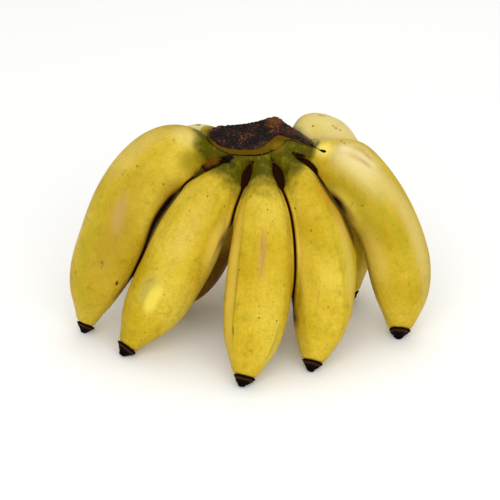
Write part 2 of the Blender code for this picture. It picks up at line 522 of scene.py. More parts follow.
@dataclass(frozen=True)
class DriedCut(Finish):
    """Dried cut face of the crown: sliced with a knife, then oxidised and shrunk.

    To the eye it is a crumbly dark crust, black in its hollows and rust brown on its grains.
    """

    name: str = "dried_cut_crust"
    roughness: float = 0.6
    specular: float = 0.08
    relief: float = 0.8
    relief_mm: float = 0.5
    crust: tuple[tuple[float, str], ...] = ((0.45, "#0B0807"), (0.58, "#2C1710"), (0.73, "#8E5230"))
    crumbs: Triple = (1.1, 4.0, 0.7)
    patches: Triple = (8.0, 2.0, 0.5)
    patchy: Pair = (0.35, -0.17)

    def material(self) -> bpy.types.Material:
        """Builds the crust from grains of two sizes.

        Returns:
            The material.
        """
        material, tree, place = self.start()
        paint = add_node(tree, "Attribute", attribute_name="paint")
        crumbs = add_node(tree, "TexNoise", read_at(place, *self.crumbs))
        patches = add_node(tree, "TexNoise", read_at(place, *self.patches))
        mixed = add_node(tree, "Math", (patches, *self.patchy), operation="MULTIPLY_ADD")
        crust = add_node(tree, "ValToRGB", (add_node(tree, "Math", (crumbs, mixed), operation="ADD"),))
        set_stops(crust, self.crust)
        marks = add_node(tree, "Math", (paint.outputs["Alpha"], crumbs), operation="MULTIPLY")
        self.finish(tree, self.layered(tree, crust, (marks, paint.outputs["Color"])), crumbs)
        return material


@dataclass(frozen=True)
class FlowerEnd(Finish):
    """Dried flower end: the withered base of the flower, shrunk hard on the finger's tip.

    To the eye it is black and splintery, with a brown ring where the skin stops.
    """

    name: str = "dried_flower_end"
    roughness: float = 0.6
    specular: float = 0.02
    relief: float = 0.7
    relief_mm: float = 0.3
    ends: tuple[tuple[float, str], ...] = ((0.0, "#0B0604"), (1.0, "#46260F"))
    fibres: Triple = (0.9, 4.0, 0.65)
    browned: Pair = (0.2, 0.6)

    def material(self) -> bpy.types.Material:
        """Builds the dried end from fibres that run along it and a painted ring.

        Returns:
            The material.
        """
        material, tree, place = self.start()
        ring = add_node(tree, "Attribute", attribute_name="ring").outputs["Fac"]
        fibres = add_node(tree, "TexNoise", read_at(place, *self.fibres))
        level = add_node(tree, "Math", (fibres, ring), operation="MULTIPLY")
        share = add_node(tree, "MapRange", (level, *self.browned))
        brown = add_node(tree, "ValToRGB", (share,))
        set_stops(brown, self.ends)
        self.finish(tree, brown, fibres)
        return material


@dataclass(frozen=True)
class TanRim(Finish):
    """Torn skin round the cut: bruised and dried to a leathery tan.

    To the eye it is a matte ochre band, rust coloured along its top and nearly black along its lip, partly
    the dried edge and partly painted shadow under the lip.
    """

    name: str = "dried_tan_rim"
    roughness: float = 0.6
    specular: float = 0.01
    relief: float = 0.5
    relief_mm: float = 0.3
    # The nearly black stop by the lip is partly painted shadow under the lip.
    band: tuple[tuple[float, str], ...] = ((0.07, "#1E0F05"), (0.2, "#584607"), (0.7, "#584607"),
                                           (0.97, "#6A3A0C"))
    blotches: Triple = (1.6, 3.0, 0.5)
    ragged: Pair = (0.7, -0.35)

    def material(self) -> bpy.types.Material:
        """Builds the band from its height between the cut and the lip.

        Returns:
            The material.
        """
        material, tree, place = self.start()
        paint = add_node(tree, "Attribute", attribute_name="paint")
        height = add_node(tree, "Attribute", attribute_name="height").outputs["Fac"]
        blotches = add_node(tree, "TexNoise", read_at(place, *self.blotches))
        ragged = add_node(tree, "Math", (blotches, *self.ragged), operation="MULTIPLY_ADD")
        band = add_node(tree, "ValToRGB", (add_node(tree, "Math", (height, ragged), operation="ADD"),))
        set_stops(band, self.band)
        colour = self.layered(tree, band, (paint.outputs["Alpha"], paint.outputs["Color"]))
        self.finish(tree, colour, blotches)
        return material


@dataclass(frozen=True)
class PocketLiningAndShade(Finish):
    """Lining of the pockets between the necks: skin that split and dried where the necks part.

    To the eye it is a dark red-brown hollow with fibres running down it; its near-black tone is partly the
    dried skin and partly painted shade deep in the pocket.
    """

    name: str = "dried_pocket_lining"
    roughness: float = 0.8
    specular: float = 0.01
    hollow: tuple[tuple[float, str], ...] = ((0.0, "#100602"), (1.0, "#2E1507"))
    fibres: Triple = (1.2, 3.0, 0.5)

    def material(self) -> bpy.types.Material:
        """Builds the lining from coarse fibres.

        Returns:
            The material.
        """
        material, tree, place = self.start()
        paint = add_node(tree, "Attribute", attribute_name="paint")
        fibres = add_node(tree, "TexNoise", read_at(place, *self.fibres))
        hollow = add_node(tree, "ValToRGB", (fibres,))
        set_stops(hollow, self.hollow)
        colour = self.layered(tree, hollow, (paint.outputs["Alpha"], paint.outputs["Color"]))
        self.finish(tree, colour, fibres)
        return material


@dataclass(frozen=True)
class Mark:
    """A mark on a finger's skin: a soft oval, mm along the finger and degrees round it.

    Its length and width are half the oval's, in mm, and turn leans it off the finger's line. Most marks are
    the skin's own colour; some are painted sheen, highlights, light or shade, as noted where the fingers are
    listed.
    """

    along: float
    around: float
    length: float
    width: float
    colour: str
    strength: float = 1.0
    edge: float = 0.6
    turn: float = 0.0


@dataclass(frozen=True)
class Bulge:
    """A soft swelling of a finger, placed as a mark is: reach in mm, spread in degrees."""

    along: float
    around: float
    reach: float
    spread: float
    height: float


@dataclass(frozen=True)
class StainOrPaintedLight:
    """A patch of staining, painted light or painted shade near the crown: a soft ball round a place in mm
    that colours what it holds.
    """

    place: Triple
    reach: float
    colour: str
    strength: float = 0.7
    edge: float = 0.6


def lay_over(colours: Array, colour: str, cover: Array) -> None:
    """Lays one colour over RGBA colours, in place.

    Args:
        colours: Linear colours, by row.
        colour: The sRGB colour.
        cover: Its cover at each of them.
    """
    kept = colours[:, 3] * (1 - cover)
    total = np.maximum(cover + kept, TINY)
    shade = np.array(linear(colour)[:3])
    colours[:, :3] = (cover[:, None] * shade + kept[:, None] * colours[:, :3]) / total[:, None]
    colours[:, 3] = cover + kept


def with_stains_and_painted_light(places: Array, stains_and_painted_light: tuple[StainOrPaintedLight, ...], colours: Array | None = None) -> Array:
    """Lays patches of staining and of painted light and shade over colours.

    Args:
        places: Places in metres.
        stains_and_painted_light: The patches of staining and of painted light and shade, lowest first.
        colours: Linear RGBA colours at the places, or none where nothing is painted yet.

    Returns:
        The colours with the stains.
    """
    colours = np.zeros((len(places), 4)) if colours is None else colours
    for patch in stains_and_painted_light:
        far = np.linalg.norm(places / MM - np.array(patch.place), axis=1) / patch.reach
        lay_over(colours, patch.colour, patch.strength * eased_step(1.0, 1.0 - patch.edge, far))
    return colours


@dataclass
class Finger:
    """One banana: its skin swept along a curve, and the dried flower end that it stands on.

    Sizes are in mm and directions in degrees of azimuth and elevation. The root is where its
    stalk leaves the crown. Ridges are given by their angles round the middle of the finger, and
    twist turns them from root to flower end. Profiles are shares of the length and of the girth.
    """

    name: str
    root: Triple
    leaves: Pair
    tip: Pair
    arrives: Pair
    girth: float
    pulls: Pair = (0.36, 0.36)
    swell: float = 0.0
    taper: float = 1.0
    ridges: tuple[float, ...] = (20, 92, 164, 236, 308)
    twist: float = 0.0
    levels: int = 2
    flatness: float = 0.34
    end_turn: float = 0.0
    bulges: tuple[Bulge, ...] = ()
    marks: tuple[Mark, ...] = ()
    end_faces: Pair = (0, 30)
    widest: float = 0.62
    shoulder: Pair = (0.2, 0.1)
    girth_along: tuple[Pair, ...] = (
        (0.0, 0.27), (0.06, 0.27), (0.15, 0.51), (0.28, 0.79), (0.46, 0.965),
        (0.62, 1.0), (0.75, 0.96), (0.86, 0.79), (0.94, 0.53), (1.0, 0.33))
    sides: int = 25
    station_every: float = 3.2
    skin_from: float = 11.0
    crispness: float = 26.0
    ridge_line: float = 1.3
    uneven: Pair = (26, 0.3)
    firm_from: Pair = (0.02, 0.2)
    firm_to: Pair = (1.05, 0.9)
    ridged_from: Pair = (0.05, 0.25)
    turned_from: Pair = (0.88, 1.0)
    facet_middle: float = 0.9
    curve_steps: int = 400
    sleeve: tuple[Pair, ...] = (
        (-5, 0.9), (0, 0.9), (4, 0.8), (8, 0.6), (12, 0.4), (16, 0.12), (20, -0.25), (24, -0.9))
    nub: tuple[Pair, ...] = (
        (0.0, 0.9), (0.06, 0.97), (0.12, 1.0), (0.18, 0.98), (0.24, 0.88), (0.3, 0.84),
        (0.42, 0.76), (0.56, 0.62), (0.7, 0.48), (0.85, 0.38), (0.97, 0.3), (1.0, 0.16))
    nub_length: float = 4.5
    nub_gap: float = 0.3
    nub_sunk: float = 0.5
    nub_blunt: float = 0.44
    nub_sides: int = 24
    nub_lobes: Pair = (0.06, 0.04)
    nub_turned: Pair = (1.0, 0.4)
    nub_ring: tuple[Pair, Pair] = ((0.18, 0.26), (0.55, 0.35))
    splinters: tuple[Pair, Pair] = ((2.2, 0.3), (0.9, 0.2))
    foot_depth: float = 0.8

    def share_of_girth(self, share: float) -> float:
        """Finds the girth by a smooth curve through the points.

        Args:
            share: Share of the length.

        Returns:
            Share of the full girth.
        """
        points = self.girth_along
        last = len(points) - 1
        slopes = []
        for i in range(last + 1):
            before, after = points[max(i - 1, 0)], points[min(i + 1, last)]
            slopes.append((after[1] - before[1]) / (after[0] - before[0]))
        i = next((k for k in range(last) if share <= points[k + 1][0]), last - 1)
        (x0, y0), (x1, y1) = points[i], points[i + 1]
        span = x1 - x0
        t = (share - x0) / span
        girth = ((2 * t**3 - 3 * t**2 + 1) * y0 + (t**3 - 2 * t**2 + t) * span * slopes[i]
                 + (3 * t**2 - 2 * t**3) * y1 + (t**3 - t**2) * span * slopes[i + 1])
        if share > self.widest:
            return girth ** self.taper
        return girth + self.swell * math.exp(-((share - self.shoulder[0]) / self.shoulder[1]) ** 2)

    def radius(self, share: float) -> float:
        """Radius in metres at a share of the length."""
        return self.share_of_girth(min(max(share, 0.0), 1.0)) * self.girth * MM / 2

    def guide_points(self) -> tuple[Vector, Vector, Vector, Vector]:
        """Places the Bezier curve that the finger follows.

        Returns:
            Its four points, in metres.
        """
        pitch = math.radians(-self.arrives[1])
        nub = (self.nub_length + self.nub_gap) * MM
        height = (nub * math.sin(pitch) + self.nub_blunt * self.radius(1.0) * math.cos(pitch)
                  - self.foot_depth * MM)
        root = Vector(self.root) * MM + HAND_PLACE
        tip = Vector((self.tip[0] * MM, self.tip[1] * MM, height)) + HAND_PLACE
        reach = (tip - root).length
        return (root, root + heading(*self.leaves) * self.pulls[0] * reach,
                tip - heading(*self.arrives) * self.pulls[1] * reach, tip)

    def path(self, count: int = SLICES) -> tuple[Array, float]:
        """Follows the finger's curve.

        Args:
            count: How many points.

        Returns:
            Evenly spaced points from root to flower end, and the length, in metres.
        """
        points = np.array(geometry.interpolate_bezier(*self.guide_points(), self.curve_steps))
        steps = np.r_[0, np.cumsum(np.linalg.norm(np.diff(points, axis=0), axis=1))]
        goal = np.linspace(0, steps[-1], count)
        return np.stack([np.interp(goal, steps, points[:, k]) for k in range(3)], axis=1), steps[-1]

    def section(self, turn: Array) -> Array:
        """Finds the outline across the finger: a rounded polygon with softly crowned facets.

        Args:
            turn: Angles round the finger.

        Returns:
            Share of the round radius at each.
        """
        ridges = np.radians(sorted(angle % 360 for angle in self.ridges))
        ahead = np.roll(ridges, -1)
        ahead[-1] += 2 * math.pi
        total = np.zeros_like(turn)
        for middle, half in zip((ridges + ahead) / 2, (ahead - ridges) / 2):
            facing = np.clip(np.cos(turn - middle), 0, 1) / math.cos(half)
            total += facing ** self.crispness
        polygon = total ** (-1 / self.crispness)
        return 1 + self.flatness * (polygon - self.facet_middle)

    def ridge_at(self, turn: Array, radius: Array) -> Array:
        """How near the closest ridge is, from 1 on it to 0 a few line widths away."""
        near = np.min([np.abs(turned_by(turn, angle)) * radius / MM for angle in self.ridges], axis=0)
        return np.exp(-(near / self.ridge_line) ** 2)

    def bar(self, name: str, stations: list[Pair]) -> Piece:
        """A straight round bar along +Z, extruded station by station, before it is shaped and bent.

        Args:
            name: Name of the piece.
            stations: Height from the root and radius of each, in metres.

        Returns:
            The bar, closed at both ends.
        """
        pick_only()
        (height, radius), *rest = stations
        bpy.ops.mesh.primitive_circle_add(vertices=self.sides, radius=radius, fill_type="NGON",
                                          location=(0, 0, height), enter_editmode=True)
        bar = bpy.context.object
        bar.name = bar.data.name = name
        bpy.ops.object.mode_set(mode="OBJECT")
        bpy.ops.object.transform_apply()
        bpy.ops.object.mode_set(mode="EDIT")
        for next_height, next_radius in rest:
            bpy.ops.mesh.extrude_region_move(TRANSFORM_OT_translate={"value": (0, 0, next_height - height)})
            bpy.ops.transform.resize(value=(next_radius / radius, next_radius / radius, 1),
                                     center_override=(0, 0, next_height))
            height, radius = next_height, next_radius
        return close_up(bar)

    def shape(self, bar: Piece, length: float) -> tuple[Array, Array, Array]:
        """Gives a straight bar its facets and unevenness.

        Args:
            bar: The straight bar.
            length: The finger's length in metres.

        Returns:
            Share of the length, angle round the finger from its ridges' line, and radius, by vertex.
        """
        places = rows_of(bar)
        turn = np.arctan2(places[:, 1], places[:, 0])
        radius = np.hypot(places[:, 0], places[:, 1])
        share = places[:, 2] / length
        round_it = turn - math.radians(self.twist) * (share - 0.5)
        firm = eased_step(*self.firm_from, share) * eased_step(*self.firm_to, share)
        size, height = self.uneven
        shaped = (radius * (1 + (self.section(round_it) - 1) * firm)
                  + rough_noise(places, size, self.girth) * height * MM * firm)
        for bulge in self.bulges:
            off = np.degrees(turned_by(round_it, bulge.around))
            down = places[:, 2] / MM - bulge.along
            shaped += bulge.height * MM * np.exp(-(off / bulge.spread) ** 2 - (down / bulge.reach) ** 2)
        places[:, 0] = shaped * np.cos(turn)
        places[:, 1] = shaped * np.sin(turn)
        put_places(bar, places)
        return share, round_it, radius

    def painted(self, along: Array, turn: Array, radius: Array) -> Array:
        """Paints the marks.

        Args:
            along: Distance from the root in metres, by vertex.
            turn: Angle round the finger.
            radius: Radius in metres.

        Returns:
            Linear colour and cover at each vertex.
        """
        colours = np.zeros((len(along), 4))
        for mark in self.marks:
            off = turned_by(turn, mark.around) * radius / MM
            down = along / MM - mark.along
            lean = math.radians(mark.turn)
            u = down * math.cos(lean) + off * math.sin(lean)
            v = off * math.cos(lean) - down * math.sin(lean)
            far = np.hypot(u / mark.length, v / mark.width)
            lay_over(colours, mark.colour, mark.strength * eased_step(1.0, 1.0 - mark.edge, far))
        return colours

    def build_skin(self) -> tuple[Piece, Array]:
        """Models the skin: a straight bar, faceted and painted, then bent along the finger's curve.

        Returns:
            The skin, and the linear colour and cover of its marks by vertex.
        """
        length = self.path()[1]
        count = round((length / MM - self.skin_from) / self.station_every)
        shrink = (2 + math.cos(2 * math.pi / self.sides)) / 3
        skin = self.bar(f"skin_{self.name}", [(height, self.radius(height / length) / shrink) for height
                                              in np.linspace(self.skin_from * MM, length, count)])
        subdivide(skin, self.levels)
        share, turn, radius = self.shape(skin, length)
        keep(skin, "ridge", self.ridge_at(turn, radius) * eased_step(*self.ridged_from, share))
        shift = np.array([0, 0, self.girth * 3.7 + len(self.name)])
        keep(skin, "straight", rows_of(skin) + shift)
        self.bend(skin)
        put_places(skin, self.turned_end(rows_of(skin), eased_step(*self.turned_from, share)))
        return skin, self.painted(share * length, turn, radius)

    def turned_end(self, places: Array, weight: Array) -> Array:
        """Turns the ring where the skin ends to face a little more one way.

        Args:
            places: Places near the flower end, in metres.
            weight: How fully each follows.

        Returns:
            The turned places.
        """
        along = np.array(heading(*self.arrives))
        faces = np.array(heading(*self.end_faces))
        faces -= along * (faces @ along)
        faces /= np.linalg.norm(faces)
        off = (places - np.array(self.guide_points()[3])) @ faces
        return places - np.outer(off * weight * math.tan(math.radians(self.end_turn)), along)

    def bend(self, piece: Piece) -> None:
        """Bends a straight piece along the finger's Bezier curve.

        Args:
            piece: The piece, along +Z.
        """
        pick_only()
        bpy.ops.curve.primitive_bezier_curve_add(enter_editmode=False)
        guide = bpy.context.object
        start, out, back, end = self.guide_points()
        first, last = guide.data.splines[0].bezier_points
        for point, *places in ((first, start, 2 * start - out, out), (last, end, back, 2 * end - back)):
            point.handle_left_type = point.handle_right_type = "FREE"
            point.co, point.handle_left, point.handle_right = places
        guide.data.resolution_u = 64
        guide.data.twist_mode = "MINIMUM"
        apply_modifier(piece, "CURVE", object=guide, deform_axis="POS_Z")
        bpy.data.objects.remove(guide, do_unlink=True)

    def build_sleeve(self) -> Piece:
        """Models skin that runs from the crown down the neck and dives under the finger's own skin.

        Returns:
            The sleeve.
        """
        length = self.path()[1]
        sleeve = self.bar(f"sleeve_{self.name}", [
            (height * MM, self.radius(height * MM / length) + extra * MM) for height, extra in self.sleeve])
        subdivide(sleeve)
        self.shape(sleeve, length)
        self.bend(sleeve)
        return sleeve

    def build_nub(self, material: bpy.types.Material) -> None:
        """Models the dried flower end: a blunt, splintered cone, worn flat by the table.

        Args:
            material: Its finish.
        """
        along = heading(*self.arrives)
        side = Vector((0, 0, 1)).cross(along).normalized()
        start = self.guide_points()[3] - along * self.nub_sunk * MM
        turns = circle(self.nub_sides)
        reach = (self.nub_length + self.nub_gap + self.nub_sunk) * MM
        centres = [np.array(start + along * share * reach) for share, _ in self.nub]
        five, three = self.nub_lobes
        radii = [self.radius(1.0) * width * (1 + five * np.cos(5 * turns + self.girth)
                                             + three * np.cos(3 * turns + share * 4))
                 for share, width in self.nub]
        nub = tube(f"flower_end_{self.name}", centres, radii, [(side, along.cross(side))] * len(centres))
        coarse, fine = self.splinters
        places = roughen(nub, (*coarse, self.girth), (*fine, 2 + self.girth))
        share = (places - np.array(start)) @ np.array(along) / reach
        places = self.turned_end(places, eased_step(*self.nub_turned, share))
        places[:, 2] = np.maximum(places[:, 2], 0)
        put_places(nub, places)
        rises, falls = self.nub_ring
        keep(nub, "ring", eased_step(*falls, share) * eased_step(*rises, share))
        hand_over(nub, Slot.END, material, f"tip_{self.name}")


@dataclass
class Hand:
    """All fingers of the hand, grown against each other.

    Growth_gap holds, for pairs of fingers that grew together, the widest gap in mm that their skins
    swell to close.
    """

    front: tuple[Finger, ...]
    back: tuple[Finger, ...]
    growth_gap: dict[tuple[str, str], float]
    usual_gap: float = 2.5
    touch_gap: float = 1.2
    firm_touch: float = 0.1
    seam_width: float = 3.4
    seam_opening: float = 7.0
    close_look: float = 9.0
    smoothing: int = 5
    far: float = 99.0
    facing: Pair = (0.1, 0.7)
    full_growth: float = 0.45

    def fingers(self) -> tuple[Finger, ...]:
        """Every finger, front row first."""
        return self.front + self.back

    def gap_for(self, one: Finger, other: Finger) -> float | None:
        """Widest gap in mm that two fingers close if they grew together, else none."""
        names = one.name, other.name
        return self.growth_gap.get(names, self.growth_gap.get(names[::-1]))

    def touching(self, finger: Finger, places: Array, gap: Array, grown: bool) -> Array:
        """How closely skin is pressed against another finger's.

        Args:
            finger: The finger whose skin it is.
            places: Places on its skin, in metres.
            gap: Gap to the other skin at each of them, in mm.
            grown: Whether the two grew together, which leaves a seam down their whole contact.

        Returns:
            From 1 in the seam to 0 beside it.
        """
        if not grown:
            return eased_step(self.touch_gap, self.firm_touch, gap)
        path, length = finger.path()
        slices = squares_between(places, path).argmin(axis=1)
        run = np.gradient(path, axis=0)
        ahead = ((places - path[slices]) * run[slices]).sum(axis=1) / (length / (SLICES - 1)) ** 2
        least = np.full(SLICES, self.far)
        np.minimum.at(least, slices, gap)
        least = np.minimum(np.minimum(least, np.roll(least, 1)), np.roll(least, -1))
        least = np.convolve(np.pad(least, self.smoothing // 2, "edge"),
                            np.ones(self.smoothing) / self.smoothing, "valid")
        opening = np.maximum(np.interp(slices + ahead, np.arange(SLICES), least), 0)
        return (eased_step(self.seam_width, self.firm_touch, gap - opening)
                * eased_step(self.seam_opening, self.seam_opening / 2, opening))

    def gap_to(self, places: Array, other: Finger,
               skin: bvhtree.BVHTree) -> tuple[Array, Array]:
        """Gap from each place to another finger's skin, exact where it is narrow.

        Args:
            places: Places in metres.
            other: The other finger.
            skin: The faces of its skin.

        Returns:
            Gap in mm, negative inside the other finger, and the direction to it.
        """
        path, _ = other.path()
        radii = np.array([other.radius(share) for share in np.linspace(0, 1, SLICES)])
        distance = np.sqrt(np.maximum(squares_between(places, path), TINY**2))
        nearest = (distance - radii).argmin(axis=1)
        row = np.arange(len(places))
        towards = (path[nearest] - places) / distance[row, nearest][:, None]
        gap = (distance[row, nearest] - radii[nearest]) / MM
        for k in np.flatnonzero(gap < self.close_look):
            foot, normal, _, _ = skin.find_nearest(Vector(places[k]))
            away = Vector(places[k]) - foot
            gap[k] = math.copysign(away.length / MM, away.dot(normal))
        return gap, towards

    def build(self, material: bpy.types.Material, crown: "Crown") -> None:
        """Builds every skin, then lets the skins meet and colours them by how near they come: brown from
        rubbing, and near-black painted crevice shade in the seams and by the pockets.

        Args:
            material: Finish of the skins.
            crown: The crown, which knows the green necks, the pockets, and the patches of staining and of
                painted light and shade.
        """
        skins = [(finger, *finger.build_skin()) for finger in self.fingers()]
        trees = {finger.name: bvhtree.BVHTree.FromPolygons(rows_of(skin).tolist(),
                                                           [p.vertices[:] for p in skin.data.polygons])
                 for finger, skin, _ in skins}
        for finger, skin, colours in skins:
            places, normals = rows_of(skin), rows_of(skin, "normal")
            move, touch = np.zeros((2, len(places)))
            for other in self.fingers():
                if other is finger:
                    continue
                gap, towards = self.gap_to(places, other, trees[other.name])
                facing = eased_step(*self.facing, (normals * towards).sum(axis=1))
                widest = self.gap_for(finger, other)
                limit = widest or self.usual_gap
                grown = gap * eased_step(limit, limit * self.full_growth, gap) * facing
                move += grown / 2
                pressed = self.touching(finger, places, gap - grown, widest is not None)
                touch = np.maximum(touch, pressed * facing)
            places = places + normals * (move * MM)[:, None]
            put_places(skin, places)
            # Skin browned by rubbing and near-black painted crevice shade, where skins meet and by the
            # pockets.
            keep(skin, "touch", np.maximum(touch, crown.by_pocket(places)))
            keep(skin, "green", crown.greenness(places))
            keep(skin, "paint", with_stains_and_painted_light(places, crown.stains_and_painted_light, colours))
            hand_over(skin, Slot.SKIN, material, f"banana_{finger.name}")


@dataclass
class Crown:
    """The crown: its dried cut face, tan rim, the green flesh that the necks grow out of, and pockets.

    Outlines are in plan, in mm; drops are mm below the cut face. A ring of a profile is its scale,
    its drop and how far it is moved outwards.
    """

    hand: Hand
    cut_edge: tuple[Pair, ...] = (
        (-21, 22), (-18, 14), (-10, 9.5), (0, 8.5), (6, 11), (10, 17), (14, 22.5), (19, 20.5), (24, 17.5),
        (30, 14.5), (32, 18), (27, 25), (20, 31), (13, 36), (4, 32), (-8, 29.5), (-17, 28))
    rim_edge: tuple[Pair, ...] = (
        (-21.5, 22), (-18.5, 13.5), (-10, 9), (0, 8), (6.5, 9), (11, 12), (15, 13.5), (19, 13.5), (24, 13.5),
        (30, 13), (33, 17.5), (28, 25.5), (20.5, 31.5), (13, 36.5), (4, 32.5), (-8, 30), (-17.5, 28.5))
    tan_edge: tuple[Pair, ...] = (
        (-21.5, 22), (-18.5, 13.5), (-10, 9), (0, 8), (6.5, 9), (11.5, 12), (16, 14.8), (19.3, 20.3),
        (24, 17.5), (30, 14.5), (32, 18), (27.5, 25), (20.5, 31.5), (13, 36.5), (4, 32.5), (-8, 30),
        (-17.5, 28.5))
    middle: Pair = (11, 28)
    cut_height: float = 95.0
    cut_slope: float = 0.09
    slope_from: float = 8.5
    peak: Pair = (12, 37)
    peak_rise: float = 3.2
    peak_reach: float = 8.5
    brow_rise: float = 1.8
    brow_edges: tuple[Pair, ...] = ((13, 24), (-14, -20), (11, 3))
    tail_start: float = 22.0
    tail_droop: float = 0.15
    crust_voxel: float = 0.4
    crumbs: tuple[Triple, ...] = ((1.5, 0.4, 1), (5.0, 0.2, 2), (0.8, 0.15, 3))
    slab: tuple[Triple, ...] = (
        (0.2, 0.3, 0), (0.45, 0.4, 0), (0.7, 0.2, 0), (0.93, 0.0, -0.1), (1.0, 0.1, -0.1),
        (1.0, 0.3, 0.1), (1.0, 0.5, 0.0), (0.96, 1.6, -0.3), (0.9, 2.2, 0), (0.5, 2.2, 0))
    flesh: tuple[Triple, ...] = (
        (0.3, 1.0, 0), (0.7, 1.0, 0), (0.93, 1.3, 0), (1.0, 2.2, 0), (1.0, 4.2, 1.0),
        (1.0, 5.8, 1.2), (0.97, 7.4, 0.3), (0.9, 10.0, 0), (0.8, 13.5, 0), (0.5, 15.8, 0))
    flesh_voxel: float = 0.5
    lip_line: tuple[Pair, ...] = (
        (-22, 2.0), (-14, 2.1), (-10, 3.1), (6, 3.4), (12.6, 2.8), (16, 1.4), (19.5, 0.8), (33, 0.8))
    back_lip: float = 3.2
    back_from: Pair = (22, 26)
    lip_cover: float = 0.25
    clear_of_lip: Pair = (0.5, 3.5)
    rim_top: float = 0.4
    strand: tuple[Triple, ...] = (
        (29.5, 14.2, 94.2), (30.6, 13.4, 93.9), (31.9, 12.6, 93.6), (33.4, 11.2, 93.4), (34.4, 10.2, 93.0),
        (35.6, 9.4, 92.9), (36.8, 8.8, 92.8), (38.0, 8.4, 92.7))
    strand_widths: tuple[float, ...] = (0.7, 0.6, 0.5, 0.45, 0.5, 1.6, 1.9, 0.9)
    strand_sides: int = 8
    pocket_depth: dict[str, float] = field(default_factory=lambda: {"front_2": 0.24, "front_3": 0.24})
    usual_depth: float = 0.21
    pocket_rings: int = 12
    pocket_steps: int = 100
    lining: float = 0.7
    arch: float = 0.45
    edge_points: int = 68
    pocket_look: tuple[int, Pair, int] = (10, (0.1, 0.9), 24)
    by_lining: Pair = (2.2, 0.6)
    green_ends: Pair = (1.15, 0.3)
    green_line: tuple[Pair, ...] = (
        (-34, 13), (-22, 17), (-13, 26), (0, 30), (12, 30), (22, 28), (27, 14), (33, 4.5), (45, 3.5))
    stains_and_painted_light: tuple[StainOrPaintedLight, ...] = ()

    def outline(self, corners: tuple[Pair, ...]) -> Array:
        """Draws a smooth closed outline.

        Args:
            corners: Points that it runs through, in plan, in mm.

        Returns:
            Its points in plan, in mm.
        """
        corner = np.array(corners, float)
        count = len(corner)
        places = np.arange(self.edge_points) * count / self.edge_points
        k, t = places.astype(int), (places % 1)[:, None]
        p = [corner[(k + j) % count] for j in (-1, 0, 1, 2)]
        return (2 * p[1] + (p[2] - p[0]) * t + (2 * p[0] - 5 * p[1] + 4 * p[2] - p[3]) * t**2
                + (3 * p[1] - p[0] - 3 * p[2] + p[3]) * t**3) / 2

    def face_height(self, plan: Array) -> Array:
        """Height of the cut face.

        Args:
            plan: Points in plan, in mm.

        Returns:
            Height over each, in mm.
        """
        off = ((plan - np.array(self.peak)) ** 2).sum(axis=1) / self.peak_reach**2
        back, left, right = self.brow_edges
        back_left = np.maximum(eased_step(*back, plan[:, 1]), eased_step(*left, plan[:, 0]))
        brow = self.brow_rise * back_left * eased_step(*right, plan[:, 0])
        slope = self.cut_slope * (plan[:, 1] - self.slope_from)
        droop = self.tail_droop * np.maximum(0, plan[:, 0] - self.tail_start)
        return self.cut_height + slope + self.peak_rise * np.exp(-off) + brow - droop

    def lip(self, plan: Array) -> Array:
        """How far the tan rim's lip lies below the cut face, in mm, over points in plan."""
        front = np.interp(plan[:, 0], *zip(*self.lip_line))
        return front + (self.back_lip - front) * eased_step(*self.back_from, plan[:, 1])

    def ring(self, outline: Array, scale: float, drop: float, grow: float = 0.0,
             towards_lip: float = 0.0) -> Array:
        """An outline as a ring of the crown.

        Args:
            outline: Points in plan.
            scale: Scale about the crown's middle.
            drop: How far below the cut face, in mm.
            grow: How far it is moved outwards, in mm.
            towards_lip: Share of the way that it is then lowered to the rim's lip.

        Returns:
            The ring's points in metres.
        """
        run = np.roll(outline, -1, axis=0) - np.roll(outline, 1, axis=0)
        outwards = np.stack([run[:, 1], -run[:, 0]], axis=1)
        outwards /= np.linalg.norm(outwards, axis=1)[:, None]
        middle = np.array(self.middle)
        plan = middle + (outline - middle) * scale + outwards * grow
        height = self.face_height(plan) - drop - (self.lip(plan) - drop) * towards_lip
        return np.column_stack([plan, height]) * MM + np.array(HAND_PLACE)

    def plan_of(self, places: Array) -> Array:
        """Places in metres as points in plan, in mm."""
        return (places[:, :2] - np.array(HAND_PLACE)[:2]) / MM

    def greenness(self, places: Array) -> Array:
        """How green the skin still is at each place, by how near the crown's lip is.

        Args:
            places: Places in metres.

        Returns:
            From 1, green, to 0, ripe.
        """
        rim = self.ring(self.outline(self.rim_edge), 1.0, 0.0, 0.0, 1.0)
        far = np.sqrt(np.maximum(squares_between(places, rim).min(axis=1), 0)) / MM
        ends = np.interp(places[:, 0] / MM, *zip(*self.green_line))
        return eased_step(*self.green_ends, far / ends)

    def outside(self, plan: Array) -> Array:
        """How far points lie outside the tan rim's outline.

        Args:
            plan: Points in plan, in mm.

        Returns:
            Distance in mm, negative inside.
        """
        rim = self.outline(self.tan_edge)
        ahead = np.roll(rim, -1, axis=0)
        edge = ahead - rim
        away = plan[:, None, :] - rim[None]
        share = np.clip((away * edge).sum(axis=2) / (edge**2).sum(axis=1), 0, 1)
        distance = np.linalg.norm(away - share[..., None] * edge, axis=2).min(axis=1)
        crosses = (rim[:, 1] > plan[:, 1:2]) != (ahead[:, 1] > plan[:, 1:2])
        rise = np.where(np.abs(edge[:, 1]) < TINY, TINY, edge[:, 1])
        reach = rim[:, 0] + (plan[:, 1:2] - rim[:, 1]) * edge[:, 0] / rise
        inside = (crosses & (plan[:, 0:1] < reach)).sum(axis=1) % 2 == 1
        return np.where(inside, -distance, distance)

    def give(self, piece: Piece, slot: Slot, material: bpy.types.Material, *nodes: str) -> None:
        """Paints the patches of staining and of painted light and shade on one of the crown's pieces and
        hands it over, as hand_over says.
        """
        keep(piece, "paint", with_stains_and_painted_light(rows_of(piece), self.stains_and_painted_light))
        hand_over(piece, slot, material, *nodes)

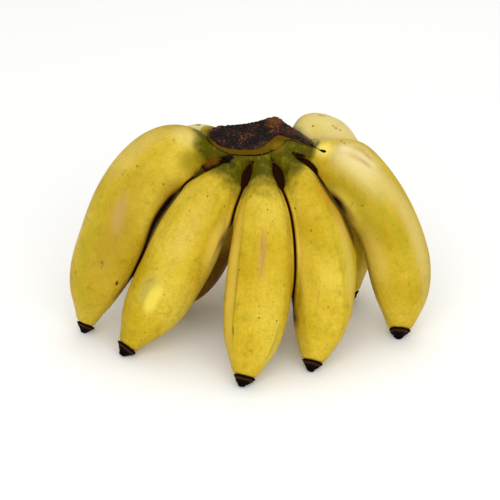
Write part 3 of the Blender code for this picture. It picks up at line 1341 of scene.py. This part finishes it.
    def build_cut(self, material: bpy.types.Material) -> None:
        """Models the dried face: a crumbling slab, hollowed a little and higher along its edge.

        Args:
            material: Its finish.
        """
        cut = self.outline(self.cut_edge)
        slab = extruded_rings("crown_dried_face", [self.ring(cut, *values) for values in self.slab])
        apply_modifier(slab, "REMESH", mode="VOXEL", voxel_size=self.crust_voxel * MM)
        roughen(slab, *self.crumbs)
        self.give(slab, Slot.CUT, material, "crown_cut")

    def build_rim(self, material: bpy.types.Material) -> None:
        """Models the tan band under the cut, ending in a lip.

        Args:
            material: Its finish.
        """
        cut, rim = self.outline(self.cut_edge), self.outline(self.tan_edge)
        top = self.rim_top
        band = extruded_rings("crown_tan_rim", [self.ring(*values) for values in (
            (cut, 0.9, top + 0.5), (cut, 1.0, top), (cut, 1.0, top, 0.1, 0.1),
            ((cut + rim) / 2, 1.0, top, 0.25, 0.5), (rim, 1.0, top, 0.4, 0.9), (rim, 1.0, top, 0.5, 1.0),
            (rim, 1.0, 0, 0.05, 1.05), (rim, 0.93, 0, 0, 1.0))])
        subdivide(band)
        places = rows_of(band)
        plan = self.plan_of(places)
        drop = self.face_height(plan) - places[:, 2] / MM
        keep(band, "height", 1 - (drop - top) / (self.lip(plan) - top))
        roughen(band, (3.0, 0.12, 4))
        self.give(band, Slot.CROWN, material, "crown")

    def build_flesh(self, material: bpy.types.Material) -> None:
        """Models the green flesh under the rim, fused with a sleeve of skin down every neck.

        Args:
            material: Its finish.
        """
        rim = self.outline(self.rim_edge)
        flesh = extruded_rings("crown_flesh", [self.ring(rim, *values) for values in self.flesh])
        pick_only(flesh, *[finger.build_sleeve() for finger in self.hand.fingers()])
        bpy.ops.object.join()
        apply_modifier(flesh, "REMESH", mode="VOXEL", voxel_size=self.flesh_voxel * MM)
        apply_modifier(flesh, "SMOOTH", factor=0.5, iterations=10)
        places = rows_of(flesh)
        plan = self.plan_of(places)
        free = eased_step(*self.clear_of_lip, self.outside(plan))
        cap = (self.face_height(plan) - self.lip(plan) - self.lip_cover) * MM
        places[:, 2] -= np.maximum(places[:, 2] - cap, 0) * (1 - free)
        put_places(flesh, places)
        # The flesh by the pockets is darkened as painted shade where the necks part.
        for name, values in (("green", self.greenness(places)), ("ridge", np.zeros(len(places))),
                             ("touch", self.by_pocket(places)), ("straight", places)):
            keep(flesh, name, values)
        self.give(flesh, Slot.CROWN, material, "crown")

    def neighbours(self) -> list[tuple[Finger, Finger]]:
        """Pairs of fingers whose necks part at a pocket."""
        front, back = self.hand.front, self.hand.back
        return [*zip(front, front[1:]), *zip(back, back[1:]), (front[0], back[0]), (front[-1], back[-1])]

    def by_pocket(self, places: Array) -> Array:
        """How near a pocket's lining each place is.

        Args:
            places: Places in metres.

        Returns:
            From 1 on a lining to 0 about 2 mm away.
        """
        rows, across, count = self.pocket_look
        points = [p + (q - p) * k for first, second in self.neighbours()
                  for p, q in list(zip(first.path()[0], second.path()[0]))[:rows]
                  for k in np.linspace(*across, count)]
        tree = kdtree.KDTree(len(points))
        for number, point in enumerate(points):
            tree.insert(point, number)
        tree.balance()
        far = np.array([tree.find(place)[2] for place in places]) / MM
        return eased_step(*self.by_lining, far)

    def build_pockets(self, material: bpy.types.Material) -> None:
        """Models the dark linings between neighbouring necks: thin sheets from neck to neck, dark as dried
        skin and as painted shade deep in the pockets.

        Args:
            material: Their finish.
        """
        for first, second in self.neighbours():
            a, b = first.path(self.pocket_steps)[0], second.path(self.pocket_steps)[0]
            depth = self.pocket_depth.get(first.name, self.usual_depth)
            rings = []
            for share in np.linspace(0.0, depth, self.pocket_rings):
                k = int(share * (self.pocket_steps - 1))
                p, q = a[k], b[k]
                ahead = a[k + 1] - a[k] + b[k + 1] - b[k]
                thick = np.cross(q - p, ahead)
                thick *= self.lining * MM / np.linalg.norm(thick)
                sag = ahead / np.linalg.norm(ahead) * (share / depth) ** 2 * np.linalg.norm(q - p) * self.arch
                row = np.array([p, (p + q) / 2 - sag, q])
                rings.append(np.concatenate([row - thick, row[::-1] + thick]))
            lining = extruded_rings(f"pocket_{first.name}_{second.name}", rings)
            subdivide(lining, 3)
            self.give(lining, Slot.CUT, material)

    def build_strand(self, material: bpy.types.Material) -> None:
        """Models the withered strand of skin that hangs off the end of the cut, a clot at its tip.

        Args:
            material: Its finish.
        """
        path = np.array(self.strand) * MM
        sides = []
        for k in range(len(path)):
            ahead = Vector(path[min(k + 1, len(path) - 1)] - path[max(k - 1, 0)]).normalized()
            side = ahead.orthogonal().normalized()
            sides.append((side, ahead.cross(side)))
        radii = [np.full(self.strand_sides, width * MM / 2) for width in self.strand_widths]
        strand = tube("crown_strand", path, radii, sides)
        roughen(strand, (1.2, 0.15, 6))
        keep(strand, "ring", np.zeros(len(strand.data.vertices)))
        hand_over(strand, Slot.END, material)


@dataclass
class Studio:
    """Floor, lights and camera. The camera looks down on the hand from its front.

    Each softbox has a name, a place in metres and a power in watts.
    """

    elevation: float = 30.0
    distance: float = 700.0
    target: Triple = (0, -11, 48)
    lens: float = 100.0
    sensor: float = 36.0
    floor_size: float = 8.0
    floor_colour: str = "#FCFCFA"
    room: float = 0.7
    box_size: float = 0.9
    boxes: tuple[tuple[str, Triple, float], ...] = (
        ("key", (-0.35, -0.95, 0.85), 5), ("fill", (0.45, -0.95, 0.5), 4.5), ("top", (0.1, 0.5, 1.3), 3.5))

    def build(self) -> None:
        """Adds all of it."""
        scene = bpy.context.scene
        scene.view_settings.view_transform = "Standard"
        self.build_floor()
        world = bpy.data.worlds.new("studio_room")
        world.use_nodes = True
        fill_in(world.node_tree, world.node_tree.nodes["Background"],
                {"Color": (1, 1, 1, 1), "Strength": self.room})
        scene.world = world
        for name, place, power in self.boxes:
            bpy.ops.object.light_add(type="AREA", location=place)
            light = bpy.context.object
            light.name = name
            light.data.size, light.data.energy = self.box_size, power
            aim = Vector(self.target) * MM - Vector(place)
            light.rotation_euler = aim.to_track_quat("-Z", "Y").to_euler()
        bpy.ops.object.camera_add()
        camera = bpy.context.object
        towards = heading(0, self.elevation)
        camera.location = Vector(self.target) * MM + HAND_PLACE + towards * self.distance * MM
        camera.rotation_euler = (-towards).to_track_quat("-Z", "Y").to_euler()
        camera.data.lens, camera.data.sensor_width = self.lens, self.sensor
        camera.data.dof.use_dof = False
        scene.camera = camera

    def build_floor(self) -> None:
        """Adds the pale, matte floor, which is no part of the hand."""
        pick_only()
        bpy.ops.mesh.primitive_plane_add(size=self.floor_size)
        floor = bpy.context.object
        floor.name = "floor"
        material = bpy.data.materials.new("pale_floor")
        material.use_nodes = True
        fill_in(material.node_tree, material.node_tree.nodes["Principled BSDF"],
                {"Base Color": linear(self.floor_colour), "Roughness": 0.9, "Specular IOR Level": 0.0})
        floor.data.materials.append(material)


SPOT, FAINT, TAN, MAUVE = "#4A3208", "#7A5E18", "#B98C4A", "#B4925A"

FRONT = (
    Finger(
        "front_1", (-12, 17, 88), (-92, 22), (-85, -13), (-76, -69), 36.5, (0.46, 0.42), 0.19, 1.2,
        ridges=(40, 112, 180, 262, 330), levels=3, flatness=0.2, end_turn=25,
        bulges=(Bulge(20, -52, 16, 55, 4.6), Bulge(48, -57, 14, 45, 3.0), Bulge(115, -55, 20, 45, -3.0),
            Bulge(30, 113, 12, 40, -1.5), Bulge(80, 113, 24, 40, -1.5)),
        marks=(
            # The first pale oval, at 40 mm and 80 degrees, is painted sheen on the top of the finger.
            Mark(40, 80, 26, 11, "#DCC474", 0.4, 0.9), Mark(85, 66, 30, 8, "#A39A1E", 0.5, 0.9),
            Mark(112, 50, 16, 6, "#ACA026", 0.45, 0.9), Mark(80, 27, 58, 16, "#987A26", 0.55, 0.9),
            Mark(22, 2, 11, 8, "#857A12", 0.65, 0.9), Mark(45, -28, 26, 9, "#92741C", 0.5, 0.9),
            Mark(68, 31, 15, 5.5, MAUVE, 0.55, 0.9, -13), Mark(63, 33, 9, 1.8, "#A9824E", 0.4, 0.9, -13),
            Mark(100.8, -5, 1.7, 0.9, "#4A1004", 1, 0.3, -20), Mark(93.8, 29, 2.4, 0.6, "#8A5A1C", 0.8),
            Mark(92, 31, 0.9, 0.8, SPOT, 0.7), Mark(44.8, 47, 0.8, 0.8, SPOT, 0.8),
            Mark(51.4, 60, 0.7, 0.6, SPOT, 0.7), Mark(43, -9, 0.8, 0.7, SPOT, 0.8),
            Mark(40.5, -21, 0.7, 0.6, SPOT, 0.7), Mark(106.8, 43, 0.8, 0.7, SPOT, 0.7),
            Mark(56.7, -29, 0.6, 0.6, SPOT, 0.6), Mark(65.9, 13, 0.5, 0.5, SPOT, 0.5))),
    Finger(
        "front_2", (-5, 11, 87), (-39, -20), (-62, -34), (-62, -47), 33, swell=0.14,
        ridges=(25, 97, 170, 240, 312), levels=3, flatness=0.18, end_turn=15,
        bulges=(Bulge(13, -15, 6, 50, 1.6), Bulge(50, -40, 20, 40, 1.2), Bulge(104, -30, 16, 50, -1.8),
            Bulge(42, 140, 16, 40, 1.7)),
        marks=(
            # The pale oval at 45 mm, 62 degrees is painted sheen on the top, and the bright yellow one at 42
            # mm, -6 degrees is painted light on the right side, which would fall in shade.
            Mark(45, 62, 28, 9, "#DCC474", 0.2, 0.9), Mark(42, -6, 22, 8, "#EDD060", 0.75, 0.9),
            Mark(77, 76, 13, 7, "#A09850", 0.5, 0.8), Mark(80, 62, 10.5, 4.6, "#E0CA4E", 0.8, 0.6),
            Mark(73, 84, 5, 1.2, "#9C7C48", 0.5, 0.8, 40), Mark(46, -12, 10, 1.6, "#8A861A", 0.5, 0.8),
            Mark(54, 25, 0.6, 0.6, SPOT, 0.6), Mark(66, 80, 0.6, 0.6, SPOT, 0.6),
            Mark(98, 40, 0.7, 0.5, SPOT, 0.7), Mark(58, 8, 0.6, 0.6, SPOT, 0.7))),
    Finger(
        "front_3", (6, 9, 86), (1, -20), (-3, -60), (-24, -54), 33, swell=0.02,
        ridges=(40, 129, 200, 265, 330), levels=3, end_turn=8,
        marks=(
            Mark(62, 148, 46, 7, "#E2BE52", 0.65, 0.8), Mark(66, 129.5, 38, 0.7, "#7E5E16", 0.55, 0.5),
            Mark(87.5, 129, 3, 0.6, SPOT, 0.9), Mark(58, 126, 0.7, 0.6, SPOT, 0.9),
            Mark(50, 88, 18, 3.8, "#B5845A", 0.42, 0.9), Mark(45, 90, 8, 0.6, "#9A6430", 0.5, 0.8),
            Mark(52, 86, 9, 0.5, "#9A6430", 0.45, 0.8), Mark(48, 83, 7, 0.45, "#A06A34", 0.4, 0.8),
            Mark(90, 42, 12, 0.9, "#8C8838", 0.65, 0.6), Mark(96, 90, 1.7, 0.4, "#8A6C18", 0.7, 0.5, 55),
            Mark(96, 86, 1.7, 0.4, "#8A6C18", 0.7, 0.5, -55))),
    Finger(
        "front_4", (16, 13, 87), (44, -12), (31, -47), (-28, -58), 31.5, swell=0.12,
        ridges=(98, 178, 250, 320, 30), twist=-72, levels=3, end_turn=13,
        bulges=(Bulge(18, -179, 9, 50, 0.8), Bulge(26, 14, 12, 50, -5.0)),
        marks=(
            # The amber ovals at 32 and 44 mm are skin browned by rubbing, deepened as painted shade, and the
            # near-black ones at 29 and 43 mm are painted crevice shade, all along the seam with front_5.
            Mark(55, 174, 30, 6, "#E0C054", 0.3, 0.9), Mark(32, 74, 16, 6, "#A8741A", 0.6, 0.9),
            Mark(44, 66, 16, 6, "#A8741A", 0.5, 0.9), Mark(29, 42, 13, 8, "#2A1306", 0.95, 0.5),
            Mark(43, 36, 16, 7.5, "#2A1306", 0.95, 0.5), Mark(49.5, 48, 0.9, 0.8, SPOT, 0.9),
            Mark(62, 74, 34, 5.4, "#CDB85E", 0.45, 0.8), Mark(62, 98, 34, 1.2, "#A39A28", 0.5, 0.8),
            Mark(31, 155, 1, 0.9, SPOT, 0.7), Mark(78, 150, 4.5, 0.5, TAN, 0.6),
            Mark(75, 147, 3, 0.4, TAN, 0.5))),
    Finger(
        "front_5", (25, 19, 90), (83, 2), (77, -18), (-14, -70), 33.5, (0.38, 0.42), 0.12,
        ridges=(7, 79, 151, 223, 295), twist=-38, levels=3, end_turn=25,
        bulges=(Bulge(15, -148, 11, 50, 5.4), Bulge(30, -141, 10, 42, 1.8), Bulge(45, -128, 14, 45, 3.9),
            Bulge(60, 72, 24, 45, -2.4), Bulge(25, 55, 7, 30, 0.8)),
        marks=(
            # The large pale ovals at 66 mm, 112 degrees and 34 mm, 138 degrees are painted sheen on the top
            # and right side; the one at 27 mm, 116 degrees is a pale scuffed blister, made paler as painted
            # sheen; the small near-white one at 21 mm, 108 degrees is a painted highlight.
            Mark(62, 125, 66, 24, "#A28A20", 0.3, 0.9), Mark(66, 112, 52, 9, "#D6C27C", 0.5, 0.8),
            Mark(60, 151, 46, 1.8, "#A0961C", 0.55, 0.9), Mark(48, 190, 30, 6, "#A89A20", 0.3, 0.9),
            # The bright yellow oval at 38 mm, -148 degrees is painted light on the left side, which would
            # fall in shade.
            Mark(76, -158, 28, 9, "#E6C962", 0.5, 0.9), Mark(38, -148, 24, 8, "#F4DE58", 0.8, 0.9),
            Mark(34, 138, 24, 11, "#D9CA84", 0.6, 0.9), Mark(27, 116, 17, 11, "#DCCB92", 0.8, 0.8),
            Mark(52, 178, 34, 8, "#A6921E", 0.45, 0.9), Mark(27, 119, 6, 2.6, "#AC8C4C", 0.4, 0.9),
            Mark(32, 118, 5, 2, "#A07C3C", 0.5, 0.9), Mark(21, 108, 3.4, 2.4, "#E6DCB0", 0.35, 0.6),
            Mark(27, 94, 5, 2.5, "#B0925A", 0.6, 0.9), Mark(31, 99, 4, 2, "#A8874C", 0.6, 0.9),
            Mark(37, 218, 0.6, 0.6, SPOT, 0.8), Mark(39, 210, 0.6, 0.5, SPOT, 0.8),
            Mark(43, 195, 0.6, 0.6, SPOT, 0.7), Mark(47, 182, 0.7, 0.6, SPOT, 0.8),
            Mark(44, 200, 0.5, 0.5, SPOT, 0.7))),
)
BACK = (
    Finger(
        "back_1", (-10, 28, 88), (-140, -4), (-62, 41), (-110, -72), 32, (0.40, 0.42), 0.12,
        marks=(Mark(19, 90, 13, 9, "#E0D69E", 0.8, 0.9), Mark(18.4, 88, 1.5, 0.7, "#120C06", 1, 0.4))),
    Finger(
        "back_2", (0, 26, 84), (-100, -62), (-41, 7), (-60, -50), 31,
        # Its dark brown oval is painted shade on the side that lies under the front row.
        marks=(Mark(68, -55, 30, 18, "#5C3410", 0.9, 0.6),)),
    Finger("back_3", (8, 32, 86), (185, 0), (2, 51), (190, -75), 31, (0.44, 0.36), 0.10),
    Finger(
        "back_4", (22, 31, 88), (128, 8), (53, 18), (34, -70), 34, (0.52, 0.42), 0.18, levels=3,
        bulges=(Bulge(13, 15, 9, 45, 5.0), Bulge(27, 92, 10, 35, -2.2)),
        marks=(
            Mark(17, 83, 2.2, 1, "#94601C", 0.8), Mark(18.9, 128, 1.4, 0.8, FAINT, 0.7),
            Mark(24.8, 131, 1, 0.7, SPOT, 0.7), Mark(21, 120, 3, 1.2, "#8E7434", 0.5, 0.9),
            Mark(15, 118, 0.8, 0.8, "#8A4A14", 0.9))),
)
# The near-black slit colour is dried tissue in the slits between the necks, deepened as painted shade in
# them.
SLIT_TISSUE_AND_SHADE, SCUFF = "#160804", "#8E6A2C"
# Among these, the pale patches round (-33, 8, 102) and (43, 34, 94) are painted sheen on the tops of
# front_1's and back_4's necks, and the bright one round (37, 10, 93.3) is painted light on the hollow of
# front_5's neck, which would fall in shade.
NECK_STAINS_AND_PAINTED_LIGHT = (
    StainOrPaintedLight((-33, 8, 102), 10, "#E2CE80", 0.5, 0.9), StainOrPaintedLight((43, 34, 94), 24, "#DCCA84", 0.85, 0.5),
    StainOrPaintedLight((33, 32, 96), 7, "#CDBC60", 0.7, 0.8), StainOrPaintedLight((27, 38, 95.5), 7, "#D2C070", 0.8, 0.7),
    StainOrPaintedLight((-26.9, 6.5, 98), 4.5, "#33330A", 0.6, 0.9), StainOrPaintedLight((-24.5, 5.5, 95), 2.5, "#2A2A08", 0.6, 0.9),
    StainOrPaintedLight((22, -1.5, 89), 7, "#4A4506", 0.6, 0.9), StainOrPaintedLight((-9.5, 1.5, 88.9), 3.5, "#2A2C02", 0.7, 0.9),
    StainOrPaintedLight((-18.6, 8.6, 88.2), 3.6, "#70480E", 0.85, 0.6), StainOrPaintedLight((-21.5, 7, 86.6), 3.2, "#70480E", 0.7, 0.8),
    StainOrPaintedLight((-12.8, 7.2, 88.3), 4, SLIT_TISSUE_AND_SHADE, 1, 0.5), StainOrPaintedLight((-10.8, 6.8, 89.9), 3, SLIT_TISSUE_AND_SHADE, 1, 0.5),
    StainOrPaintedLight((-11.5, 5, 89.5), 2, SLIT_TISSUE_AND_SHADE, 1, 0.5), StainOrPaintedLight((-16.1, 6.8, 86.3), 2, SLIT_TISSUE_AND_SHADE, 0.9, 0.6),
    StainOrPaintedLight((-9.6, 6.4, 90.7), 1.4, SLIT_TISSUE_AND_SHADE, 1, 0.5), StainOrPaintedLight((-20.5, 4.9, 85.2), 1.4, SLIT_TISSUE_AND_SHADE, 0.7, 0.8),
    StainOrPaintedLight((-11.5, 4.2, 88.8), 2.6, SLIT_TISSUE_AND_SHADE, 1, 0.5), StainOrPaintedLight((-14.5, 5, 87), 2.2, SLIT_TISSUE_AND_SHADE, 0.9, 0.5),
    StainOrPaintedLight((1, 5.7, 88.5), 1.1, SLIT_TISSUE_AND_SHADE, 1, 0.6), StainOrPaintedLight((0.5, 6.2, 86.9), 1.3, SLIT_TISSUE_AND_SHADE, 1, 0.6),
    StainOrPaintedLight((10.3, 8.8, 88.9), 0.9, SLIT_TISSUE_AND_SHADE, 1, 0.6), StainOrPaintedLight((10.6, 8.4, 88), 1.2, SLIT_TISSUE_AND_SHADE, 1, 0.6),
    StainOrPaintedLight((11.1, 8.4, 86.9), 1.4, SLIT_TISSUE_AND_SHADE, 1, 0.6), StainOrPaintedLight((21.4, 11.2, 90.7), 1.3, SLIT_TISSUE_AND_SHADE, 1, 0.5),
    StainOrPaintedLight((23.2, 11.2, 89.7), 1.9, SLIT_TISSUE_AND_SHADE, 1, 0.5), StainOrPaintedLight((25.4, 11.2, 88.6), 2.6, SLIT_TISSUE_AND_SHADE, 1, 0.5),
    StainOrPaintedLight((12.3, 32, 99.5), 7, "#8A5228", 0.8, 0.9), StainOrPaintedLight((20, 25, 96.5), 6, "#6A4028", 0.5, 0.9),
    StainOrPaintedLight((37, 10, 93.3), 7, "#EAD468", 1, 0.9), StainOrPaintedLight((6.5, 13, 93), 5, "#6E5A10", 0.6, 0.9),
    StainOrPaintedLight((13.5, 14, 92), 5.5, "#84661A", 0.8, 0.9), StainOrPaintedLight((-5.6, 21.4, 96), 7, "#060505", 1, 0.9),
    StainOrPaintedLight((36, 43, 97.2), 1.2, "#94601C", 0.8), StainOrPaintedLight((38, 42.6, 97), 1.2, "#94601C", 0.7),
    StainOrPaintedLight((32, 33.9, 95.2), 0.9, "#8A4A14", 0.9), StainOrPaintedLight((42.4, 35, 94.7), 0.9, SCUFF, 0.8),
    StainOrPaintedLight((43.9, 34.4, 93.8), 0.9, "#5A4214", 0.8), StainOrPaintedLight((46, 34.3, 92.8), 0.8, "#5A4214", 0.8),
    StainOrPaintedLight((45.2, 12.6, 96.8), 1.5, SCUFF, 0.6, 0.9), StainOrPaintedLight((46.8, 10.9, 96.5), 1.4, SCUFF, 0.6, 0.9),
)


def main() -> None:
    """Builds the studio, the fingers and the crown in order."""
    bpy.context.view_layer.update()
    Studio().build()
    skin = BananaSkin().material()
    hand = Hand(FRONT, BACK, {("front_1", "front_2"): 3.0, ("front_2", "front_3"): 4.5,
                              ("front_3", "front_4"): 4.0, ("front_4", "front_5"): 3.0})
    crown = Crown(hand, stains_and_painted_light=NECK_STAINS_AND_PAINTED_LIGHT)
    hand.build(skin, crown)
    flower_end = FlowerEnd().material()
    for finger in hand.fingers():
        finger.build_nub(flower_end)
    crown.build_flesh(skin)
    crown.build_rim(TanRim().material())
    crown.build_cut(DriedCut().material())
    crown.build_pockets(PocketLiningAndShade().material())
    crown.build_strand(flower_end)


if __name__ == "__main__":
    main()
